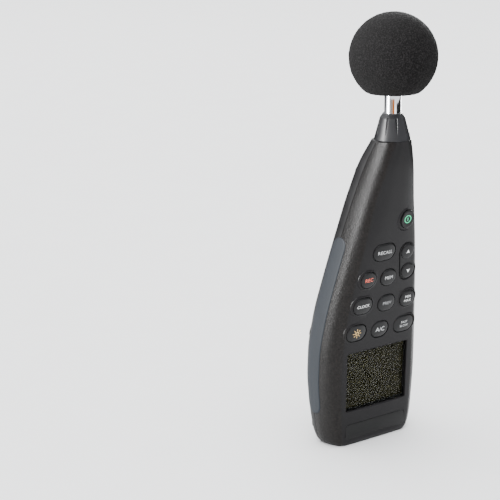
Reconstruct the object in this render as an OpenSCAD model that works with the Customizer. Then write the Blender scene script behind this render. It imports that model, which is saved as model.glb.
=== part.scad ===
// Hand-held sound level meter with a half-inch microphone stem and a foam windscreen.
// Millimetres. X is to the right seen from the front, Y to the back, Z up.
// The origin is the centre of the flat land that the meter stands on.

/* [Body] */
// Wall thickness of both case halves
wall = 2.4; // [2.0:0.1:2.8]
// How far the side grips stand proud of the case
grip_proud = 0.5; // [0.2:0.1:0.8]
// Length of each side grip
grip_len = 149; // [130:1:152]

/* [Microphone] */
// Outside diameter of the half-inch stem and capsule
mic_d = 12.7; // [12.0:0.1:13.2]
// Height of the fluted collar that holds the stem
collar_h = 20; // [18:0.5:22]
// Length of bright stem that shows between collar and windscreen
stem_gap = 15.6; // [10:0.2:20]
// Diameter of the foam windscreen
ball_d = 67.4; // [60:0.2:72]

/* [Display] */
// Width of the display opening
window_w = 60.6; // [54:0.2:61]
// Height of the display opening
window_h = 49.6; // [44:0.2:50]

/* [Keys] */
// How far a key travels when pressed
key_travel = 1.0; // [0.6:0.1:1.1]
// Gap around each key cap
key_gap = 0.35; // [0.25:0.05:0.45]
// How far a key cap stands out of the panel
key_proud = 1.7; // [1.4:0.1:2.2]

/* [Battery] */
// Width of the battery door
door_w = 34; // [33:0.5:36]
// Gap around the battery door
door_gap = 0.35; // [0.3:0.05:0.5]

/* [Hidden] */
$fn = 48;

// Case stations from the foot up: height, front y, panel half-width, panel edge y,
// crease half-width, crease y, parting half-width, parting y, back y
stations = [
  [0, -15, 30, -14.5, 37, -7, 38.5, 2.5, 11.5],
  [3, -17, 32, -16, 40, -8, 41.5, 3, 16],
  [10, -17.7, 33.5, -16.8, 42.8, -8.2, 44, 3.5, 20],
  [23, -18.1, 34.5, -17.5, 44.5, -8.5, 45.4, 4.1, 24],
  [53, -19.1, 35.5, -18.5, 46, -10, 46.7, 5.2, 29],
  [83, -20.7, 35, -20, 45.7, -10.5, 46.5, 3.5, 27.6],
  [113, -25.2, 33, -24, 42.4, -13.6, 43.5, -1.2, 23],
  [143, -30.5, 29, -29, 37, -19.5, 38.3, -6.5, 15.4],
  [173, -35.9, 23.8, -34.2, 31, -25.7, 32.5, -12.2, 8],
  [203, -41.2, 19, -38, 24.7, -30.6, 26.5, -18.9, 1],
  [233, -46.7, 12.7, -45.1, 18.6, -36.5, 19.5, -26, -8.2],
  [253, -49.2, 8, -46.7, 12.5, -41.5, 14.2, -34, -20.8]];
body_h = 253;
levels = [0, 1.5, 3, 6, 10, 16, 23, 33, 43, 53, 63, 73, 83, 93, 103, 113, 128, 143, 158, 173,
  188, 203, 218, 233, 240, 247, 253];
inner_levels = [2.8, 6, 10, 16, 23, 38, 53, 68, 83, 98, 113, 128, 143, 158, 173, 188, 203, 218,
  233, 241, 248.5];
back_power = 2.6; // squareness of the back's section
back_steps = 7;
panel_steps = 3;
mic_y = -35;

// A station value at height h, rounded off where the stations change slope
function at(k, h) = lookup(h, [for (s = stations) [s[0], s[k]]]);
function soft(h) = max(0, min(8, 0.4 * h, 0.4 * (body_h - h)));
function sec(k, h) = (at(k, h - soft(h)) + 2 * at(k, h) + at(k, h + soft(h))) / 4;
function front_y(h) = sec(1, h);
function part_w(h) = sec(6, h);
function part_y(h) = sec(7, h);
function back_y(h) = sec(8, h);

// Half-width of the case at depth y, between the crease and the back
function back_x(t, h) = part_w(h) * pow(max(0, 1 - pow(t, back_power)), 1 / back_power);
function side_x(y, h) =
  y > part_y(h) ? back_x((y - part_y(h)) / (back_y(h) - part_y(h)), h)
  : lookup(y, [[sec(5, h), sec(4, h)], [part_y(h), part_w(h)]]);

// Right half of a section: from the middle of the front to the parting line
function front_half(h) = [
  for (i = [0:panel_steps]) let(u = i / panel_steps)
    [sec(2, h) * u, front_y(h) + (sec(3, h) - front_y(h)) * pow(u, 3)],
  [(sec(2, h) + sec(4, h)) / 2 + 0.6, (sec(3, h) + sec(5, h)) / 2 - 0.6],
  [sec(4, h), sec(5, h)],
  [part_w(h), part_y(h)]];
// and on round the back to the middle
function back_half(h) = [for (i = [0:back_steps]) let(a = 90 * i / back_steps)
  [part_w(h) * pow(cos(a), 2 / back_power),
   part_y(h) + (back_y(h) - part_y(h)) * pow(sin(a), 2 / back_power)]];
function flip(p) = [for (i = [len(p) - 1:-1:0]) [-p[i][0], p[i][1]]];
function tail(p) = [for (i = [1:len(p) - 1]) p[i]];
function front_ring(h) = concat(flip(tail(front_half(h))), front_half(h));
function back_ring(h) = concat(back_half(h), tail(flip(back_half(h))));
function inner_ring(h) = let(w = part_w(h), y0 = part_y(h), t = wall,
    f = 1 - t / (y0 - front_y(h)), b = 1 - t / (back_y(h) - y0),
    all = concat(front_half(h), tail(back_half(h))))
  [for (p = concat(all, [for (q = flip(all)) if (abs(q[0]) > 0.001) q]))
    [p[0] * (1 - t / w), y0 + (p[1] - y0) * (p[1] < y0 ? f : b)]];

// Skin over a stack of outlines that all have the same number of points
module loft(rings, heights) {
  n = len(rings[0]);
  m = len(rings);
  points = [for (i = [0:m - 1]) for (p = rings[i]) [p[0], p[1], heights[i]]];
  side = [for (i = [0:m - 2]) for (j = [0:n - 1]) let(k = (j + 1) % n, a = i * n, b = a + n)
    each [[a + j, b + j, b + k], [a + j, b + k, a + k]]];
  polyhedron(points, concat(side, [[for (j = [0:n - 1]) j], [for (j = [n - 1:-1:0]) (m - 1) * n + j]]));
}
module front_half_body() { loft([for (h = levels) front_ring(h)], levels); }
module back_half_body() { loft([for (h = levels) back_ring(h)], levels); }
module cavity() { loft([for (h = inner_levels) inner_ring(h)], inner_levels); }

// Frames: local -Y points out of the front, X is to the right, Z up along the surface
key_tilt = 10.15;
key_mid_h = 140;
key_mid_y = -30;
disp_tilt = 2.4;
disp_h = 55.3;
disp_y = -19.25;
label_h = 12.6;
label_y = -17.8;
module on_panel(x, h) {
  translate([x, key_mid_y - tan(key_tilt) * (h - key_mid_h), h]) rotate([key_tilt, 0, 0]) children();
}
module on_display() { translate([0, disp_y, disp_h]) rotate([disp_tilt, 0, 0]) children(); }
module on_label() { translate([0, label_y, label_h]) rotate([-2, 0, 0]) children(); }
// Prism or rod along local Y, from y0 to y1
module along_y(y0, y1) { translate([0, y1, 0]) rotate([90, 0, 0]) linear_extrude(y1 - y0) children(); }
module rod_y(r, y0, y1) { translate([0, y0, 0]) rotate([-90, 0, 0]) cylinder(r = r, h = y1 - y0); }
module rod_x(r, x0, x1) { translate([x0, 0, 0]) rotate([0, 90, 0]) cylinder(r = r, h = x1 - x0); }
module box(lo, hi) { translate(lo) cube(hi - lo); }

// An outline with straight long sides and half-round ends
module pill(w, h, grow = 0) {
  r = h / 2 + grow;
  if (w > h) {
    for (s = [-1, 1]) translate([s * (w - h) / 2, 0]) circle(r = r);
    square([w - h, 2 * r], center = true);
  } else circle(r = r);
}
module slab(w, h, r) {
  square([w - 2 * r, h], center = true);
  square([w, h - 2 * r], center = true);
  for (x = [-1, 1], y = [-1, 1]) translate([x * (w / 2 - r), y * (h / 2 - r)]) circle(r = r);
}

// Keys: x, height, width, height of the cap
key_list = [[13.2, 188.5, 14.6, 14.6], [-5.8, 164, 21.2, 14], [18.2, 160.4, 12.6, 12.6],
  [20.8, 143.6, 12.6, 12.6], [-18.5, 142.7, 14.4, 13.4], [1.3, 141.5, 15, 13.8],
  [-20.8, 120.8, 18.4, 13.8], [2.8, 119.2, 17, 13.8], [24.1, 118.9, 14.8, 13.8],
  [-24, 98, 19.4, 14], [-0.6, 96.8, 17, 14], [24, 96.5, 20.8, 14]];
panel_face = 2.6; // depth of the inner face of the panel, plus clearance
flange_t = 0.8;
flange_grow = 0.9;
mat_y = panel_face + flange_t + key_travel + 0.6;
mat_t = 1;
board_gap = 0.2;
board_y = mat_y + mat_t + board_gap;
board_t = 1.6;
dish_r = 9.3;
rocker_d = 14.4;

dome_r = 26;
// The power key lies near the panel's edge, so its flange stops short on that side
flange_cut = 4.5;
module flange_outline(i, grow) {
  k = key_list[i];
  intersection() {
    pill(k[2], k[3], flange_grow + grow);
    translate([-20, -12]) square([(i == 0 ? flange_cut : 20) + 20 + grow, 24]);
  }
}
module key(i) {
  k = key_list[i];
  proud = i == 0 ? 0.2 : key_proud;
  r = k[3] / 2;
  on_panel(k[0], k[1]) {
    if (k[2] > k[3]) intersection() {
      along_y(-proud, panel_face) pill(k[2], k[3]);
      translate([0, dome_r - proud, 0]) sphere(r = dome_r, $fn = 96);
    }
    else rotate([90, 0, 0]) rotate_extrude() polygon([[0, -panel_face - 0.1], [r, -panel_face - 0.1],
      [r, proud - 0.9], [r - 0.3, proud - 0.5], [r - 1.2, proud - 0.2], [0, proud]]);
    along_y(panel_face, panel_face + flange_t) flange_outline(i, 0);
  }
}
module key_holes() {
  for (i = [0:len(key_list) - 1]) let(k = key_list[i]) on_panel(k[0], k[1]) {
    along_y(-6, 8) pill(k[2], k[3], key_gap);
    along_y(panel_face - 0.15, 9) flange_outline(i, 0.35);
  }
  on_panel(key_list[0][0], key_list[0][1]) rotate([90, 0, 0]) translate([0, 0, -0.9])
    cylinder(r1 = key_list[0][2] / 2 + 0.5, r2 = dish_r + 3, h = 5.2);
}
// One pocket holds the up and the down key
module rocker_pocket() {
  a = key_list[2];
  b = key_list[3];
  run = norm([b[0] - a[0], (a[1] - b[1]) / cos(key_tilt)]);
  on_panel((a[0] + b[0]) / 2, (a[1] + b[1]) / 2) rotate([0, atan((b[0] - a[0]) / (a[1] - b[1])), 0])
    rotate([0, 90, 0]) along_y(-6, 0.9) pill(run + rocker_d, rocker_d);
}

// Board posts on the panel: x, height
panel_posts = [[-10, 108.2], [13.5, 108.2], [-10, 186]];
// Board posts around the display: local x, z
disp_posts = [[-31.6, -29.6], [31.6, -29.6], [-31.6, 30.2], [31.6, 30.2]];
disp_board_y = 9;
post_r = 2.1;
pilot_r = 0.8;
// Case screws: x, height, depth of the head's seat
screw_list = [[38.5, 14, 9.5], [-38.5, 14, 9.5], [39.3, 92, 12], [-39.3, 92, 12],
  [12.5, 226, -12.5], [-12.5, 226, -12.5]];
screw_len = 18;
screw_r = 1.45;
head_r = 2.8;
head_t = 2;
boss_r = 3.4;

module panel_post_holes(r, y0, y1) {
  for (p = panel_posts) on_panel(p[0], p[1]) rod_y(r, y0, y1);
}
module disp_post_holes(r, y0, y1) {
  on_display() for (p = disp_posts) translate([p[0], 0, p[1]]) rod_y(r, y0, y1);
}

// The socket row on the right side
jack_h = 192;
jack_y = -9.5;
jack_r = 1.775;
usb_h = 179;
usb_y = -5;
trim_h = 206;
trim_y = -13;
trim_r = 2;
side_wall_x = 24;

module stem_bore(r) { translate([0, mic_y, body_h - 12]) cylinder(r = r, h = 40); }
spigot_r = 10;

// Grip: a strip that follows the parting line, with half-round ends
grip_r = 8.5;
grip_mid = 101;
grip_depth = 1.5;
grip_end = [0.6, 2, 4, 7];
function grip_half(h, half) = let(over = max(0, abs(h - grip_mid) - (half - grip_r)))
  sqrt(max(0.3, grip_r * grip_r - over * over));
function grip_levels(half) = concat(
  [for (e = grip_end) grip_mid - half + e], [for (i = [1:9]) grip_mid - half + 7 + (half - 7) * i / 5],
  [for (i = [3:-1:0]) grip_mid + half - grip_end[i]]);
function grip_ring(h, half, out, deep, grow) = let(g = grip_half(h, half) + grow, n = 5)
  concat([for (i = [0:n]) let(y = part_y(h) - g + 2 * g * i / n) [side_x(y, h) + out, y]],
    [for (i = [n:-1:0]) let(y = part_y(h) - g + 2 * g * i / n) [side_x(y, h) - deep, y]]);
module grip(out, deep, grow) {
  half = grip_len / 2 + grow;
  hs = grip_levels(half);
  loft([for (h = hs) grip_ring(h, half, out, deep, grow)], hs);
}
module both_sides() {
  children();
  mirror([1, 0, 0]) children();
}

module front_shell() color("#454445") {
  difference() {
    union() {
      difference() {
        front_half_body();
        cavity();
        on_display() along_y(win_y - 0.15, 12) slab(frame_out[0] + 0.6, frame_out[1] + 0.6, 2);
      }
      intersection() {
        front_half_body();
        union() {
          for (s = screw_list) translate([s[0], 0, s[1]]) rod_y(boss_r, -60, 10);
        }
      }
      difference() {
        union() {
          for (p = panel_posts) on_panel(p[0], p[1]) rod_y(post_r, 1.4, board_y);
          on_display() for (p = disp_posts) translate([p[0], 0, p[1]]) rod_y(post_r, 1.4, disp_board_y);
        }
        panel_post_holes(pilot_r, 2.6, board_y + 1);
        disp_post_holes(pilot_r, 2.6, disp_board_y + 1);
      }
    }
    key_holes();
    rocker_pocket();
    on_display() along_y(-6, 8) slab(window_w, window_h, 1);
    on_label() along_y(-6, 1) slab(61, 12.4, 3);
    for (s = screw_list) translate([s[0], s[2], s[1]]) rod_y(screw_r + 0.05, -screw_len - 1, 1);
    both_sides() grip(3, grip_depth + 0.1, 0.1);
    stem_bore(spigot_r + 0.05);
  }
}

comp_lo = [-door_w / 2 - door_gap, 6.6, 26];
comp_hi = [door_w / 2 + door_gap, 60, 90];
comp_wall = 1.3;
// Hinge barrel along the door's top edge, with a pin at each end
hinge_r = 1.45;
pin_r = 0.9;
pin_len = 1.1;
hinge_z = comp_hi[2] - 2.4;
hinge_y = back_y(hinge_z) - hinge_r - 0.8;
insert_h = 103;
insert_face = 22.6;
insert_len = 9;
insert_r = 4.5;

module back_shell() color("#414041") {
  difference() {
    union() {
      difference() {
        back_half_body();
        cavity();
      }
      intersection() {
        back_half_body();
        union() {
          for (s = screw_list) translate([s[0], 0, s[1]]) rod_y(boss_r + 0.6, -40, 40);
          box(comp_lo - comp_wall * [1, 1, 1], comp_hi + comp_wall * [1, 0, 1]);
          translate([0, 0, insert_h]) rod_y(insert_r + 2.2, insert_face - insert_len - 1.2, 40);
        }
      }
    }
    box(comp_lo, comp_hi);
    translate([0, hinge_y, hinge_z]) rod_x(pin_r + 0.05, -door_w / 2 - pin_len - 0.1, door_w / 2 + pin_len + 0.1);
    for (s = screw_list) translate([s[0], s[2], s[1]]) {
      rod_y(screw_r + 0.15, -30, 1);
      rod_y(head_r + 0.2, 0, 40);
    }
    translate([0, 0, insert_h]) {
      rod_y(insert_r + 0.02, insert_face - insert_len, 60);
      rod_y(8, insert_face, 60);
    }
    translate([0, jack_y, jack_h]) rod_x(3.1, side_wall_x - 4, 40);
    box([side_wall_x - 2, usb_y - 4.2, usb_h - 2.2], [44, usb_y + 4.2, usb_h + 2.2]);
    translate([0, trim_y, trim_h]) rod_x(trim_r + 0.3, side_wall_x - 3, 40);
    both_sides() grip(3, grip_depth + 0.1, 0.1);
    stem_bore(spigot_r + 0.05);
  }
}

module grip_right() color("#5d6670") { grip(grip_proud, grip_depth, 0); }
module grip_left() color("#5d6670") { mirror([1, 0, 0]) grip(grip_proud, grip_depth, 0); }

// Fluted collar: a turned cone with tapered grooves, and a spigot clamped between the case halves
collar_base_r = 13.9;
collar_shoulder_r = 9.7;
collar_rim_r = 7.4;
flutes = 9;
flute_turn = 7.5;
module neck_collar() color("#5a5b60") {
  translate([0, mic_y, body_h]) difference() {
    rotate_extrude($fn = 72) polygon([[mic_d / 2 + 0.03, -8], [spigot_r, -8], [spigot_r, 0],
      [collar_base_r, 0], [collar_base_r - 0.2, 2], [collar_shoulder_r, collar_h - 3.4],
      [collar_rim_r, collar_h], [mic_d / 2 + 0.03, collar_h]]);
    for (i = [0:flutes - 1]) rotate([0, 0, 360 * i / flutes + flute_turn])
      translate([collar_rim_r + 2.6, 0, collar_h - 1]) rotate([0, 192, 0])
        cylinder(r1 = 1.1, r2 = 0.1, h = 15, $fn = 8);
  }
}

stem_z0 = body_h - 11;
ball_z0 = body_h + collar_h + stem_gap;
capsule_z = ball_z0 + 10;
capsule_len = 12;
module mic_tube() color("#d9d9db") translate([0, mic_y, stem_z0]) difference() {
  cylinder(d = mic_d, h = capsule_z - stem_z0, $fn = 72);
  translate([0, 0, -1]) cylinder(d = mic_d - 2, h = capsule_z - stem_z0 + 2);
}
module mic_capsule() color("#8d8f92") translate([0, mic_y, capsule_z]) {
  cylinder(d = mic_d, h = capsule_len, $fn = 72);
  translate([0, 0, -3]) cylinder(d = mic_d - 2.1, h = 3);
}
module mic_grid() color("#b9babd") translate([0, mic_y, capsule_z + capsule_len]) difference() {
  cylinder(d = mic_d, h = 3, $fn = 72);
  translate([0, 0, -1]) cylinder(d = mic_d - 2, h = 3.2);
  for (i = [0:7]) rotate([0, 0, 45 * i]) translate([3.9, 0, 0]) cylinder(r = 0.7, h = 6, $fn = 16);
  cylinder(r = 1, h = 6, $fn = 16);
}

// Open-cell foam ball with a flat foot and a blind bore for the stem
ball_r = ball_d / 2;
ball_drop = 26.7;
ball_bore_z = capsule_z + capsule_len + 3.6;
module windscreen() color("#1c1a19") translate([0, mic_y, 0]) difference() {
  translate([0, 0, ball_z0 + ball_drop]) sphere(r = ball_r, $fn = 64);
  translate([-50, -50, ball_z0 - 50]) cube([100, 100, 50]);
  translate([0, 0, ball_z0 - 1]) cylinder(d = mic_d + 0.6, h = ball_bore_z - ball_z0 + 1);
}

// Display stack, from the window inwards
win_y = 2.7;
win_t = 1.2;
glass_y = win_y + win_t + 0.3;
glass_t = 1.8;
light_t = 1.6;
frame_in = [63.4, 53];
frame_out = [67, 56.4];
module display_window() color("#7d8180", 0.4) on_display()
  along_y(win_y, win_y + win_t) slab(63, 52.6, 1);
module lcd_glass() color("#454336") on_display()
  along_y(glass_y, glass_y + glass_t) square([60, 47.6], center = true);
module backlight_panel() color("#e6e8de") on_display()
  along_y(glass_y + glass_t + 0.1, glass_y + glass_t + 0.1 + light_t) square([60, 47.6], center = true);
module display_frame() color("#2a2a2b") on_display() difference() {
  along_y(win_y, disp_board_y - 0.1) slab(frame_out[0], frame_out[1], 2);
  along_y(win_y - 1, disp_board_y + 1) square(frame_in, center = true);
  for (p = disp_posts) translate([p[0], 0, p[1]]) rod_y(post_r + 0.2, 0, 12);
}
module zebra_strips() color("#7c6f6a") on_display() for (s = [-1, 1])
  translate([0, 0, s * 25.1]) along_y(glass_y, disp_board_y - 0.1) square([54, 2], center = true);
module label_plate() color("#262627") on_label() along_y(0.5, 0.95) slab(60.6, 12, 2.8);

// Outline of the mat and its board: local x, z
mat_outline = [[-33, -50.5], [33, -50.5], [31, -18], [25.5, 10], [16.6, 56], [-13, 56], [-25.5, 10], [-31, -18]];
module keypad_mat() color("#3a3a3c") difference() {
  union() {
    on_panel(0, key_mid_h) along_y(mat_y, mat_y + mat_t)
      polygon(mat_outline);
    for (k = key_list) on_panel(k[0], k[1]) rod_y(3.2, mat_y - 0.45, mat_y + 0.1);
  }
  panel_post_holes(post_r + 0.25, 0, 12);
}
module keypad_board() color("#2d6b45") difference() {
  on_panel(0, key_mid_h) along_y(board_y, board_y + board_t)
    polygon(mat_outline);
  panel_post_holes(pilot_r + 0.1, 0, 14);
}
module main_board() color("#2f704a") on_display() difference() {
  along_y(disp_board_y, disp_board_y + board_t) square([68, 66], center = true);
  for (p = disp_posts) translate([p[0], 0, p[1]]) rod_y(pilot_r + 0.1, 0, 14);
}
module preamp_board() color("#2f704a") box([-7, mic_y + 0.8, 206], [7, mic_y + 2.4, stem_z0 - 1]);
module board_screws() color("#b8b8ba") {
  for (p = panel_posts) on_panel(p[0], p[1]) {
    rod_y(pilot_r - 0.03, board_y - 3.2, board_y + board_t + 0.05);
    rod_y(1.7, board_y + board_t + 0.02, board_y + board_t + 1.1);
  }
  on_display() for (p = disp_posts) translate([p[0], 0, p[1]]) {
    rod_y(pilot_r - 0.03, disp_board_y - 5, disp_board_y + board_t + 0.05);
    rod_y(1.7, disp_board_y + board_t + 0.02, disp_board_y + board_t + 1.1);
  }
}

// Nine-volt battery, standing, with its snap on the two terminals
bat_y = 6.8;
bat_z = 33;
bat_w = 26;
bat_d = 16;
bat_h = 46;
terminal_x = 6.35;
module battery() color("#3c5f86") {
  box([-bat_w / 2, bat_y, bat_z], [bat_w / 2, bat_y + bat_d, bat_z + bat_h]);
  for (s = [-1, 1]) translate([s * terminal_x, bat_y + bat_d / 2, bat_z + bat_h - 0.5])
    cylinder(r = s < 0 ? 2.9 : 3.9, h = 3, $fn = s < 0 ? 48 : 6);
}
module battery_snap() color("#191919") difference() {
  box([-12.5, bat_y + 2, bat_z + bat_h + 0.3], [12.5, bat_y + bat_d - 2, bat_z + bat_h + 4.5]);
  for (s = [-1, 1]) translate([s * terminal_x, bat_y + bat_d / 2, bat_z + bat_h - 1])
    cylinder(r = 4.1, h = 3.8);
}

// Battery door: a piece of the back wall that swings on its top edge
door_lo = [-door_w / 2, 12, comp_lo[2] + 0.7];
door_hi = [door_w / 2, 40, hinge_z];
module battery_door() color("#3d3c3d") {
  translate([0, hinge_y, hinge_z]) {
    rod_x(hinge_r, door_lo[0], door_hi[0]);
    rod_x(pin_r, door_lo[0] - pin_len, door_hi[0] + pin_len);
  }
  intersection() {
    difference() {
      back_half_body();
      cavity();
    }
    box(door_lo, door_hi);
  }
}

module tripod_insert() color("#c9a24a") translate([0, insert_face - insert_len, insert_h]) difference() {
  rod_y(insert_r, 0, insert_len);
  rod_y(2.6, 1, insert_len + 1);
}
module output_jack() color("#1d1d1e") translate([0, jack_y, jack_h]) difference() {
  union() {
    box([14, -4, -4], [21.2, 4, 4]);
    rod_x(3, 21, 26.6);
  }
  rod_x(jack_r, 15.5, 30);
}
module usb_socket() color("#a9abae") translate([0, usb_y, usb_h]) difference() {
  box([20, -4, -2], [29.3, 4, 2]);
  box([21, -3.4, -1.4], [32, 3.4, 1.4]);
}
module cal_trimmer_body() color("#2b4f86") translate([0, trim_y, trim_h]) difference() {
  box([14, -3.4, -3.4], [19.4, 3.4, 3.4]);
  rod_x(trim_r + 0.05, 15.5, 22);
}
module cal_trimmer_rotor() color("#e4e2da") translate([0, trim_y, trim_h]) difference() {
  rod_x(trim_r, 15.55, 21);
  box([20.2, -3, -0.3], [22, 3, 0.3]);
}
module case_screws() color("#8e9093") for (s = screw_list) translate([s[0], s[2], s[1]]) difference() {
  union() {
    rod_y(screw_r, -screw_len, 0.1);
    rod_y(head_r, 0, head_t);
  }
  for (a = [0, 90]) rotate([0, a, 0]) box([-1.6, head_t - 1, -0.35], [1.6, head_t + 1, 0.35]);
}

front_shell();
back_shell();
grip_left();
grip_right();
neck_collar();
mic_tube();
mic_capsule();
mic_grid();
windscreen();
display_window();
display_frame();
lcd_glass();
backlight_panel();
zebra_strips();
label_plate();
color("#2e2e2f") key(0);  // power_key
color("#2e2e2f") key(1);  // recall_key
color("#2e2e2f") key(2);  // up_key
color("#2e2e2f") key(3);  // down_key
color("#2e2e2f") key(4);  // record_key
color("#2e2e2f") key(5);  // memory_key
color("#2e2e2f") key(6);  // clock_key
color("#2e2e2f") key(7);  // previous_key
color("#2e2e2f") key(8);  // minmax_key
color("#2e2e2f") key(9);  // light_key
color("#2e2e2f") key(10);  // weighting_key
color("#2e2e2f") key(11);  // response_key
keypad_mat();
keypad_board();
main_board();
preamp_board();
board_screws();
battery();
battery_snap();
battery_door();
tripod_insert();
output_jack();
usb_socket();
cal_trimmer_body();
cal_trimmer_rotor();
case_screws();
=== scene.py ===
# Hand-held sound level meter with a half-inch microphone and a foam windscreen.
import math

import bpy
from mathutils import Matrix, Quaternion, Vector


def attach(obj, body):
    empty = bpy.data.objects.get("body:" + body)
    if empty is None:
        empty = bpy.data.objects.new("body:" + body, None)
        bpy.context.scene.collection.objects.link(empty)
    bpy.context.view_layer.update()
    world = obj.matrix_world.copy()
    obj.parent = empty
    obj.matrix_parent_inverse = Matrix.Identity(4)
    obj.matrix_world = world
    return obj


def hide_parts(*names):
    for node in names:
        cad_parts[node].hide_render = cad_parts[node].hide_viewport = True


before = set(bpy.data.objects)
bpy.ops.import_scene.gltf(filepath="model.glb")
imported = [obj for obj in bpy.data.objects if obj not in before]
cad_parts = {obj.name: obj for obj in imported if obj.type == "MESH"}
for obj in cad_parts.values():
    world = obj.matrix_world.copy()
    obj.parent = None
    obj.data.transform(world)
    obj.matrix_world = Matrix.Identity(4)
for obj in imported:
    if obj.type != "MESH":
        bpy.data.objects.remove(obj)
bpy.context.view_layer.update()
mm = 0.001
print("frame loaded")


# Modelling helpers

def deselectAll():
    active = bpy.context.view_layer.objects.active
    if active and active.mode != "OBJECT":
        bpy.ops.object.mode_set(mode="OBJECT")
    bpy.ops.object.select_all(action="DESELECT")


def activate(piece):
    deselectAll()
    piece.select_set(True)
    bpy.context.view_layer.objects.active = piece
    return piece


def applyPlace(piece):
    activate(piece)
    bpy.ops.object.transform_apply(location=True, rotation=True, scale=True)
    return piece


def newest(name):
    piece = bpy.context.view_layer.objects.active
    piece.name = name
    piece.data.name = name
    return applyPlace(piece)


def useModifier(piece, kind, **settings):
    activate(piece)
    step = piece.modifiers.new(kind.title(), kind)
    for key, value in settings.items():
        setattr(step, key, value)
    bpy.ops.object.modifier_apply(modifier=step.name)
    return piece


def cutWith(piece, cutter, way="DIFFERENCE"):
    useModifier(piece, "BOOLEAN", operation=way, solver="MANIFOLD", object=cutter)
    bpy.data.objects.remove(cutter)
    return piece


def joinInto(piece, others):
    activate(piece)
    for other in others:
        other.select_set(True)
    bpy.ops.object.join()
    return piece


def twin(piece, name):
    made = piece.copy()
    made.data = piece.data.copy()
    made.name = name
    bpy.context.scene.collection.objects.link(made)
    return made


def pickFaces(piece, test):
    activate(piece)
    bpy.context.tool_settings.mesh_select_mode = (False, False, True)
    bpy.ops.object.mode_set(mode="EDIT")
    bpy.ops.mesh.select_all(action="DESELECT")
    bpy.ops.object.mode_set(mode="OBJECT")
    for face in piece.data.polygons:
        face.select = test(face.center / mm, face.normal)
    bpy.ops.object.mode_set(mode="EDIT")


def pickPoints(piece, test):
    activate(piece)
    bpy.context.tool_settings.mesh_select_mode = (True, False, False)
    bpy.ops.object.mode_set(mode="EDIT")
    bpy.ops.mesh.select_all(action="DESELECT")
    bpy.ops.object.mode_set(mode="OBJECT")
    for point in piece.data.vertices:
        point.select = test(point.co / mm)
    bpy.ops.object.mode_set(mode="EDIT")


def leaveEdit():
    bpy.ops.object.mode_set(mode="OBJECT")


def mergeDoubles(piece):
    activate(piece)
    bpy.ops.object.mode_set(mode="EDIT")
    bpy.ops.mesh.select_all(action="SELECT")
    bpy.ops.mesh.remove_doubles(threshold=0.002 * mm)
    leaveEdit()
    return piece


def curvedSheet(name, columns, rows, place):
    # a grid whose points are set one by one; place gives millimetres for a column and a row
    deselectAll()
    bpy.ops.mesh.primitive_grid_add(x_subdivisions=columns, y_subdivisions=rows, size=1)
    sheet = newest(name)
    for point in sheet.data.vertices:
        column = round((point.co.x + 0.5) * columns)
        row = round((point.co.y + 0.5) * rows)
        point.co = Vector(place(column, row)) * mm
    return mergeDoubles(sheet)


def outlinePrism(name, width, height, corner, low, high, steps=(), side=1, count=48):
    # a rounded outline that stands on local z, from low to high, carried on by (inset, rise) steps
    deselectAll()
    bpy.ops.mesh.primitive_cylinder_add(vertices=count, radius=corner * mm, depth=(high - low) * mm,
        location=(0, 0, (low + high) / 2 * mm), rotation=(0, 0, math.pi / count))
    prism = newest(name)
    for axis, spare in ((0, width / 2 - corner), (1, height / 2 - corner)):
        if spare > 0.001:         # millimetres
            for sign in (1, -1):
                pickPoints(prism, lambda p: p[axis] * sign > 0)
                shift = [0, 0, 0]
                shift[axis] = sign * spare * mm
                bpy.ops.transform.translate(value=shift)
                leaveEdit()
    if steps:
        pickFaces(prism, lambda c, n: n.z * side > 0.99)
        for inset, rise in steps:
            if inset:
                bpy.ops.mesh.inset(thickness=inset * mm, depth=rise * mm)
            else:
                bpy.ops.mesh.extrude_region_move(
                    TRANSFORM_OT_translate={"value": (0, 0, side * rise * mm)})
        leaveEdit()
    return prism


def block(name, low, high, edge=0.0):
    deselectAll()
    middle = [(a + b) / 2 * mm for a, b in zip(low, high)]
    bpy.ops.mesh.primitive_cube_add(size=1, location=middle,
        scale=[(b - a) * mm for a, b in zip(low, high)])
    piece = newest(name)
    if edge:
        useModifier(piece, "BEVEL", width=edge * mm, segments=2)
    return piece


def rod(name, radius, start, end, axis, count=40):
    # a straight round rod along x or y between two points, given in millimetres
    deselectAll()
    turn = (0, math.pi / 2, 0) if axis == "x" else (math.pi / 2, 0, 0)
    middle = [(a + b) / 2 * mm for a, b in zip(start, end)]
    length = max(abs(a - b) for a, b in zip(start, end))
    bpy.ops.mesh.primitive_cylinder_add(vertices=count, radius=radius * mm, depth=length * mm,
        location=middle, rotation=turn)
    return newest(name)


def standAt(piece, origin, tilt):
    # local z turns to point out of the front, local y up along the surface
    piece.rotation_euler = (math.radians(90 + tilt), 0, 0)
    piece.location = Vector(origin) * mm
    return applyPlace(piece)


def finishPiece(piece, body, material=None, stands=(), angle=35):
    activate(piece)
    bpy.ops.object.shade_smooth_by_angle(angle=math.radians(angle))
    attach(piece, body)
    if stands:
        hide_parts(*stands)
    if material:
        piece.data.materials.clear()
        piece.data.materials.append(material)
    return piece


# Shader maths

class Signal:
    def __init__(self, paint, socket):
        self.paint, self.socket = paint, socket

    def mathWith(self, operation, a, b=0.0):
        return self.paint.node("Math", {"operation": operation}, {0: a, 1: b})

    def __add__(self, other): return self.mathWith("ADD", self, other)
    def __radd__(self, other): return self.mathWith("ADD", other, self)
    def __sub__(self, other): return self.mathWith("SUBTRACT", self, other)
    def __rsub__(self, other): return self.mathWith("SUBTRACT", other, self)
    def __mul__(self, other): return self.mathWith("MULTIPLY", self, other)
    def __rmul__(self, other): return self.mathWith("MULTIPLY", other, self)


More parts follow.
